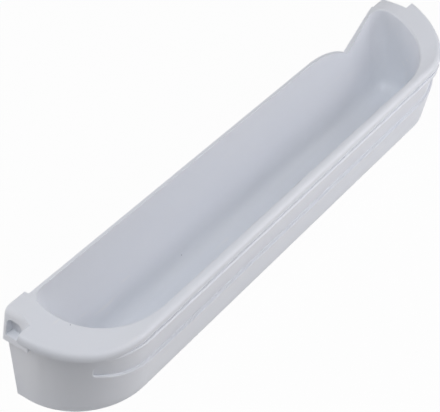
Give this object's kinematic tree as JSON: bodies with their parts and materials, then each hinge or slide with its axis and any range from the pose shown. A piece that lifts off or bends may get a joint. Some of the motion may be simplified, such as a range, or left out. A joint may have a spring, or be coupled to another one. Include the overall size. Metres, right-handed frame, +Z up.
{
  "type": "fridge door shelf",
  "caption": "Long shallow trough for a fridge door, with a flared skirt, a recessed front band, a rolled rim that climbs to the back, and a slotted hook at each end.",
  "frame": {"origin": "centre of the shelf's length and overall depth, on its base", "axes": "+X along the shelf, -Y to the room, +Y to the door, +Z up"},
  "size_m": [0.4916, 0.0774, 0.0765],
  "materials": {
    "shelf_plastic": "semi-gloss moulded plastic, cool bluish white"
  },
  "bodies": {
    "root": {"door_shelf": "shelf_plastic"}
  },
  "joints": []
}
